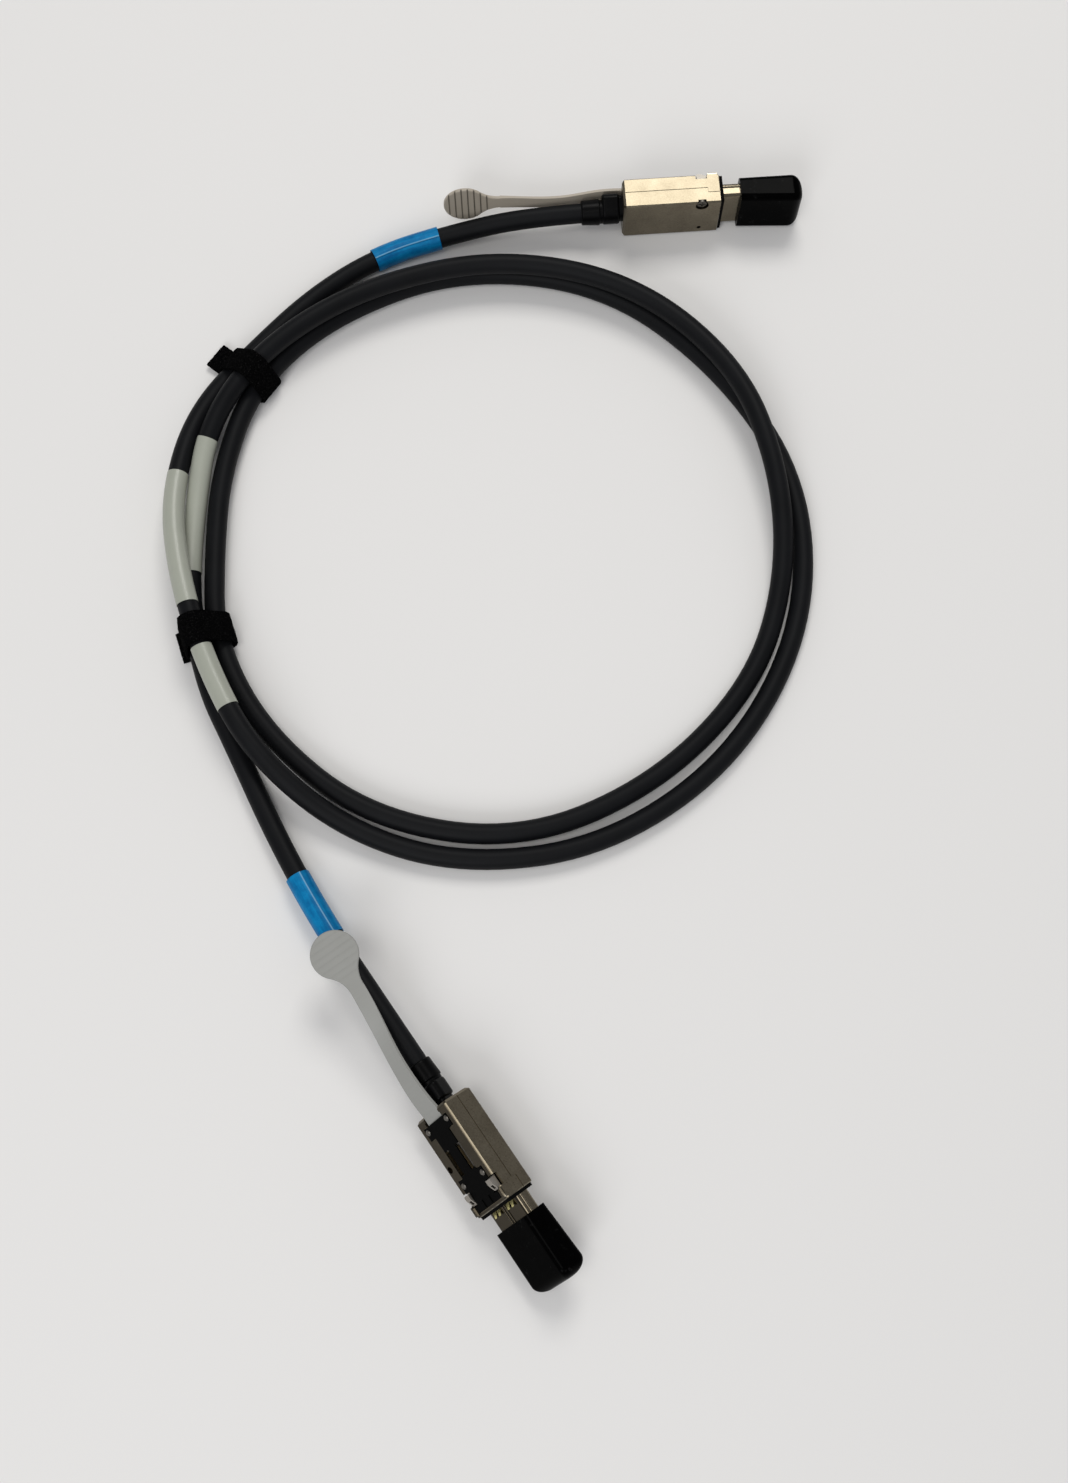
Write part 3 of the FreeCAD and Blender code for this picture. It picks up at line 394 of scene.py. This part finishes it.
labelLook = {
    "film": (0.352, 0.366, 0.308), "worn": (0.262, 0.272, 0.228), "clouds": (110, 4),
    "scuffs": (900, 4, 0.7), "scuffed": (0.58, 0.8), "roughness": 0.38, "bump": (0.12, 0.0003), "coat": 0.06,
}


def labelMaterial():
    look = labelLook
    material, shader, at = newMaterial("labelFilm")
    clouds = noise(at, *look["clouds"])
    scuffs = noise(at, *look["scuffs"]).between(*look["scuffed"])
    color = (clouds * 0.35 + scuffs * 0.4).mix(look["film"], look["worn"])
    feed(shader, color=color, roughness=look["roughness"] + scuffs * 0.25,
         normal=clouds.bump(*look["bump"]), coat=look["coat"])
    return material


tieLook = {
    "deep": (0.0004, 0.0004, 0.0004), "tips": (0.0030, 0.0030, 0.0032), "lint": (0.045, 0.043, 0.042),
    "loops": 1500.0, "fuzz": (2200, 5, 0.7), "raised": (0.25, 0.85), "fluff": (1900, 5, 0.8),
    "fluffed": (0.57, 0.72), "roughness": 0.95, "bump": (0.9, 0.0005), "ior": 1.05,
}


def tieMaterial():
    look = tieLook
    material, shader, at = newMaterial("tieFuzz")
    pattern = {"Vector": at, "Scale": look["loops"]}
    loops = at.node("ShaderNodeTexVoronoi", {"feature": "F1"}, pattern, "Distance")
    fuzz = noise(at, *look["fuzz"])
    lint = noise(at, *look["fluff"]).between(*look["fluffed"])
    cloth = (fuzz * 0.6 + loops * 0.5).between(*look["raised"]).mix(look["deep"], look["tips"])
    feed(shader, color=lint.mix(cloth, look["lint"]), roughness=look["roughness"],
         normal=(loops + fuzz).bump(*look["bump"]), ior=look["ior"])
    return material


boardLook = {"dark": (0.008, 0.09, 0.035), "light": (0.015, 0.15, 0.06), "traces": 600.0, "waver": 2.0,
             "roughness": 0.35}


def boardMaterial():
    material, shader, at = newMaterial("boardGreen")
    layout = {"Vector": at, "Scale": boardLook["traces"], "Distortion": boardLook["waver"]}
    traces = at.node("ShaderNodeTexWave", {"bands_direction": "X"}, layout)
    feed(shader, color=traces.mix(boardLook["dark"], boardLook["light"]),
         roughness=boardLook["roughness"] + traces * 0.1)
    return material


jacketBlack = jacketMaterial()
shellNickel = {side: nickelMaterial("shellNickel" + side.upper(), 1.0, side, shellBox) for side in "ab"}
noseNickel = {side: nickelMaterial("noseNickel" + side.upper(), 0.7, side, noseBox) for side in "ab"}
metalFinish = {name: plainMetal(name, metal) for name, metal in metals.items()}
mouldFinish = {name: blackMoulding(name, moulding) for name, moulding in mouldings.items()}
tabPale = {side: tabMaterial("tabPale" + side.upper(), side) for side in "ab"}
sleeveBlue = sleeveMaterial()
labelFilm = labelMaterial()
tieFuzz = tieMaterial()
boardGreen = boardMaterial()

plugFinishes = {                                                  # a finish for both plugs, or one for each
    "latch_shell": shellNickel, "base_shell": shellNickel, "nose_sleeve": noseNickel, "pull_tab": tabPale,
    "boot": mouldFinish["bootBlack"], "retainer_plate": mouldFinish["plateBlack"],
    "dust_cap": mouldFinish["capBlack"], "front_gasket": mouldFinish["gasketBlack"],
    "inner_mould": mouldFinish["mouldBlack"], "latch_bar": metalFinish["latchSteel"],
    "plate_rivets": metalFinish["rivetSteel"], "pivot_pin": metalFinish["rivetSteel"],
    "return_springs": metalFinish["rivetSteel"], "shell_screw": metalFinish["screwSteel"],
    "spring_fingers": metalFinish["fingerGold"], "card_contacts": metalFinish["contactGold"],
    "crimp_ring": metalFinish["crimpCopper"], "wire_pairs": metalFinish["wireFoil"],
    "paddle_card": boardGreen,
}
for stem, finish in plugFinishes.items():
    for side in "ab":
        node = nodes[stem + "_" + side]
        node.data.materials.clear()
        node.data.materials.append(finish[side] if isinstance(finish, dict) else finish)
print("finishes on the plugs")


# camera at the photo's angle

cameraSetup = {"target": (18.96, -17.73, 0.0), "distance": 645.0, "elevation": 75.0, "nearest": 10.0,
               "focal": 1642.0, "imageHeight": 1483.0, "sensor": 24.0}


def addCamera():
    lift = math.radians(cameraSetup["elevation"])
    target = Vector(cameraSetup["target"]) * mm
    reach = cameraSetup["distance"] * mm
    data = bpy.data.cameras.new("camera")
    data.sensor_fit = "VERTICAL"
    data.sensor_height = cameraSetup["sensor"]
    data.lens = cameraSetup["sensor"] * cameraSetup["focal"] / cameraSetup["imageHeight"]
    data.clip_start = cameraSetup["nearest"] * mm
    camera = addObject("camera", data)
    camera.location = target + Vector((0, -math.cos(lift), math.sin(lift))) * reach
    camera.rotation_euler = (target - camera.location).to_track_quat("-Z", "Y").to_euler()
    bpy.context.scene.camera = camera


addCamera()
print("camera set")


# the cable: one smooth cord from plug a to plug b

cableRoute = {
    "diameter": 8.2,
    "ringCentre": (4.96, 62.27),
    "behindA": (5.4, 39.1),                                       # distances behind the shell
    "leadA": [(-16.84, 202.77, 6.6)],
    "turns": [                                                    # angle, radius, height
        (112, 140.5, 5.2), (125, 136.5, 5.6), (139, 133.5, 6.2), (155, 137.9, 6.3),
        (172, 133.4, 11.6), (188, 126.8, 15.8), (205, 125.2, 15.3), (223, 129.0, 15.1),
        (243, 130.5, 4.1), (264, 131.0, 4.1), (289, 130.0, 4.1), (317, 127.5, 4.1),
        (346, 126.5, 4.1), (374, 125.5, 4.1), (402, 121.5, 4.1), (430, 126.5, 4.1),
        (458, 127.0, 4.1), (484, 125.0, 5.4), (505, 124.5, 6.2), (524, 117.7, 6.2),
        (542, 114.3, 6.2), (560, 119.4, 6.2), (581, 120.6, 4.5), (606, 122.5, 4.1),
        (634, 121.5, 4.1), (662, 116.0, 4.1), (690, 116.0, 4.1), (713, 115.6, 6.0),
        (735, 117.0, 12.4), (758, 123.6, 12.9), (784, 127.0, 12.9), (810, 126.0, 12.9),
        (836, 125.0, 13.9), (858, 127.5, 15.0), (876, 129.5, 11.4), (893, 124.0, 6.3),
        (910, 125.4, 6.2), (927, 129.0, 6.2),
    ],
    "leadB": [(-96.84, -22.23, 4.1), (-79.84, -57.23, 4.1), (-60.64, -90.23, 6.5)],
    "behindB": (42.5, 5.4),
    "exitBehindA": 17.4,                                          # where the boot ends
    "length": 2.03,                                               # in m
    "smoothness": 10,
    "roundness": 6,
}


def behindPlug(side, distances):
    plug = plugFrames[side]
    return [(Vector(plug["place"]) - plugAxes(plug)[0] * back) * mm for back in distances]


def routePoints():
    points = behindPlug("a", cableRoute["behindA"])
    points += [Vector(p) * mm for p in cableRoute["leadA"]]
    for angle, radius, height in cableRoute["turns"]:
        turn = math.radians(angle)
        x = cableRoute["ringCentre"][0] + radius * math.cos(turn)
        y = cableRoute["ringCentre"][1] + radius * math.sin(turn)
        points.append(Vector((x, y, height)) * mm)
    points += [Vector(p) * mm for p in cableRoute["leadB"]]
    return points + behindPlug("b", cableRoute["behindB"])


def routeCurve(name):
    piece = addCurve(name, "3D", "NURBS", routePoints())
    spline = piece.data.splines[0]
    spline.order_u = 3
    spline.use_endpoint_u = True
    piece.data.resolution_u = cableRoute["smoothness"]
    return piece


def routeLine():
    guide = routeCurve("routeGuide")
    bpy.context.view_layer.update()
    line = bpy.data.meshes.new_from_object(guide.evaluated_get(bpy.context.evaluated_depsgraph_get()))
    points = [v.co.copy() for v in line.vertices]
    bpy.data.objects.remove(guide)
    bpy.data.meshes.remove(line)
    return points


cable = routeCurve("cable")
cable.data.bevel_depth = cableRoute["diameter"] / 2 * mm
cable.data.bevel_resolution = cableRoute["roundness"]
cable.data.use_fill_caps = True
wear(cable, jacketBlack)
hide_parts("cable_lead_a", "cable_coil", "cable_lead_b")
cableLine = routeLine()
print("cable routed")


# what is wrapped on the cable: blue sleeves and bare labels, rolled films with an overlap

wrapKinds = {
    "sleeve": {"wall": 0.42, "overlap": 50, "seam": 60, "slot": "sleeve_blue", "finish": sleeveBlue},
    "label": {"wall": 0.10, "overlap": 80, "seam": 120, "slot": "label_white", "finish": labelFilm},
}
wraps = {                                                         # spans along the cable from plug a, mm
    "sleeveNearA": {"kind": "sleeve", "span": (72.8, 101.8), "node": "sleeve_a"},
    "sleeveNearB": {"kind": "sleeve", "span": (1932.4, 1959.8), "node": "sleeve_b"},
    "labelLong": {"kind": "label", "span": (232.3, 290.8), "node": "label_long"},
    "labelShort": {"kind": "label", "span": (309.5, 336.5), "node": "label_short"},
    "labelMiddle": {"kind": "label", "span": (1742.9, 1799.9), "node": "label_middle"},
}
wrapFilm = {"steps": 44, "filled": 0.92, "clearance": 0.02, "smooth": 40}     # filled: share of the wall


def stretchOf(line, start, end):
    picked = []
    passed = 0.0
    for first, second in zip(line, line[1:]):
        step = (second - first).length
        for cut in (start, end):
            if passed <= cut < passed + step:
                picked.append((cut, first.lerp(second, (cut - passed) / step)))
        if start < passed + step < end:
            picked.append((passed + step, second))
        passed += step
    return [point for place, point in sorted(picked, key=lambda pair: pair[0])]


def rolledProfile(name, kind):
    inner = cableRoute["diameter"] / 2 * mm + wrapFilm["clearance"] * mm
    wall = kind["wall"] * mm
    sweep = math.radians(360 + kind["overlap"])
    lift = wall / (2 * math.pi)
    outline = []
    for i in range(wrapFilm["steps"] + 1):
        turn = sweep * i / wrapFilm["steps"]
        outline.append((turn, inner + lift * turn))
    outline += [(turn, radius + wall * wrapFilm["filled"]) for turn, radius in outline[::-1]]
    points = []
    for turn, radius in outline:
        turn += math.radians(kind["seam"])
        points.append((radius * math.cos(turn), radius * math.sin(turn), 0))
    profile = addCurve(name, "2D", "POLY", points)
    profile.data.splines[0].use_cyclic_u = True
    return profile


def addWrap(name, wrap):
    kind = wrapKinds[wrap["kind"]]
    start, end = wrap["span"]
    piece = addCurve(name, "3D", "POLY", stretchOf(cableLine, start * mm, end * mm))
    profile = rolledProfile(name + "Profile", kind)
    piece.data.twist_mode = "Z_UP"
    piece.data.bevel_mode = "OBJECT"
    piece.data.bevel_object = profile
    piece.data.use_fill_caps = True
    piece = toMesh(piece)
    bpy.data.objects.remove(profile)
    smoothByAngle(piece, wrapFilm["smooth"])
    wear(piece, kind["finish"])
    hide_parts(wrap["node"])
    return piece


wrapPieces = [addWrap(name, wrap) for name, wrap in wraps.items()]
print("sleeves and labels rolled on")


# hook-and-loop ties: a band drawn round the strands it holds, with a loose end, then thickened and roughened

ties = {
    "tieUpper": {"node": "tie_upper", "angle": 144.0, "width": 11.5, "flap": 8.0},
    "tieLower": {"node": "tie_lower", "angle": 198.4, "width": 13.0, "flap": 2.5},
}
tieCloth = {"thickness": 1.2, "clearance": 0.3, "edge": 0.25, "edgeSteps": 2, "bendStep": 12, "grid": 0.5,
            "pile": 0.45, "loop": 0.7, "loopDetail": 2, "smooth": 60}


def strandsAt(angle, shift):
    turn = math.radians(angle)
    outward = Vector((math.cos(turn), math.sin(turn), 0))
    along = Vector((-math.sin(turn), math.cos(turn), 0))
    middle = Vector((*cableRoute["ringCentre"], 0)) * mm + along * shift * mm
    strands = []
    for first, second in zip(cableLine, cableLine[1:]):
        before, after = (first - middle).dot(along), (second - middle).dot(along)
        if before * after < 0 and (first - middle).dot(outward) > 0:
            crossing = first.lerp(second, before / (before - after)) - middle
            strands.append(Vector((crossing.dot(outward), crossing.z)))
    return strands


def tiePath(tie):
    half = tie["width"] / 2
    strands = [strand for shift in (-half, 0, half) for strand in strandsAt(tie["angle"], shift)]
    corners = [strands[i] for i in geometry.convex_hull_2d(strands)]
    rim = max(range(len(corners)), key=lambda i: corners[i].x)
    corners = corners[rim:] + corners[:rim]
    reach = (cableRoute["diameter"] / 2 + tieCloth["clearance"] + tieCloth["thickness"] / 2) * mm
    path = []
    for i, corner in enumerate(corners):
        arriving = (corner - corners[i - 1]).normalized()
        leaving = (corners[(i + 1) % len(corners)] - corner).normalized()
        start = math.atan2(-arriving.x, arriving.y)
        sweep = arriving.angle_signed(leaving) * -1
        steps = max(2, round(abs(sweep) / math.radians(tieCloth["bendStep"])))
        for step in range(steps + 1):
            turn = start + sweep * step / steps
            path.append(corner + Vector((math.cos(turn), math.sin(turn))) * reach)
    ending = (corners[0] - corners[-1]).normalized()
    loose = path[0] + ending * (reach + tie["flap"] * mm)
    return path[2:] + [path[0], loose]


def addTie(name, tie):
    piece = addCurve(name, "2D", "POLY", [(place.x, place.y, 0) for place in tiePath(tie)])
    piece.data.fill_mode = "NONE"
    piece.data.extrude = tie["width"] / 2 * mm
    piece = toMesh(piece)
    piece.rotation_euler = (math.radians(90), 0, math.radians(tie["angle"]))
    piece.location = (*(c * mm for c in cableRoute["ringCentre"]), 0)
    bpy.ops.object.transform_apply(location=True, rotation=True, scale=True)
    applyModifier(piece, "SOLIDIFY", thickness=tieCloth["thickness"] * mm, offset=0.0)
    applyModifier(piece, "BEVEL", width=tieCloth["edge"] * mm, segments=tieCloth["edgeSteps"],
                  limit_method="ANGLE")
    applyModifier(piece, "REMESH", mode="VOXEL", voxel_size=tieCloth["grid"] * mm)
    pile = bpy.data.textures.new(name + "Pile", "CLOUDS")
    pile.noise_scale = tieCloth["loop"] * mm
    pile.noise_depth = tieCloth["loopDetail"]
    applyModifier(piece, "DISPLACE", texture=pile, strength=tieCloth["pile"] * mm, mid_level=0.5)
    smoothByAngle(piece, tieCloth["smooth"])
    wear(piece, tieFuzz)
    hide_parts(tie["node"])
    return piece


tiePieces = [addTie(name, tie) for name, tie in ties.items()]
print("ties wound round the strands")


# return springs: folded strips that a pulled tab presses against the rear wall

springs = {"rear": 2.1, "kept": 0.36, "weld": 0.001, "smooth": 30}     # fixed end, mm; share left


def addSprings(side):
    stem = "return_springs_" + side
    piece = addObject("returnSprings" + side.upper(), nodes[stem].data.copy())
    mergePoints(piece, springs["weld"] * mm)
    smoothByAngle(piece, springs["smooth"])
    wear(piece, metalFinish["rivetSteel"])
    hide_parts(stem)
    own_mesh(piece)


for side in "ab":
    addSprings(side)
print("return springs fitted")


# floor and light

floorLook = {"size": 6.0, "shade": (0.78, 0.77, 0.755), "roughness": 0.9, "specular": 0.1}
worldLook = {"shade": (0.95, 0.96, 1.0), "strength": 0.38}
lamps = {
    "keyFar": {"place": (0.22, 1.19, 1.5), "aim": (0.10, 0.20, 0), "size": (0.8, 0.7), "watts": 14.0,
               "shade": (1.0, 0.985, 0.95)},
    "keyNear": {"place": (-0.30, -0.38, 1.5), "aim": (-0.30, -0.30, 0), "size": (0.6, 0.6), "watts": 4.6,
                "shade": (1.0, 0.985, 0.96)},
    "fillFront": {"place": (-0.6, -1.7, 1.3), "aim": (0, 0, 0), "size": (1.0, 1.0), "watts": 15.4,
                  "shade": (0.97, 0.98, 1.0)},
}


def addFloor():
    deselectAll()
    bpy.ops.mesh.primitive_plane_add(size=floorLook["size"], location=(0, 0, 0))
    floor = bpy.context.object
    floor.name = "floor"
    material, shader = newMaterial("floorPale")[:2]
    feed(shader, color=floorLook["shade"], roughness=floorLook["roughness"], specular=floorLook["specular"])
    floor.data.materials.append(material)


def addLamps():
    for name, lamp in lamps.items():
        data = bpy.data.lights.new(name, "AREA")
        data.shape = "RECTANGLE"
        data.size, data.size_y = lamp["size"]
        data.energy = lamp["watts"]
        data.color = lamp["shade"]
        piece = addObject(name, data)
        piece.location = lamp["place"]
        piece.rotation_euler = (Vector(lamp["aim"]) - piece.location).to_track_quat("-Z", "Y").to_euler()


def addWorld():
    world = bpy.data.worlds.new("studio")
    bpy.context.scene.world = world
    world.use_nodes = True
    background = world.node_tree.nodes["Background"]
    setSocket(background.inputs["Color"], worldLook["shade"])
    setSocket(background.inputs["Strength"], worldLook["strength"])


addFloor()
addLamps()
addWorld()
bpy.context.scene.view_settings.view_transform = "Standard"
print("floor and lamps set")
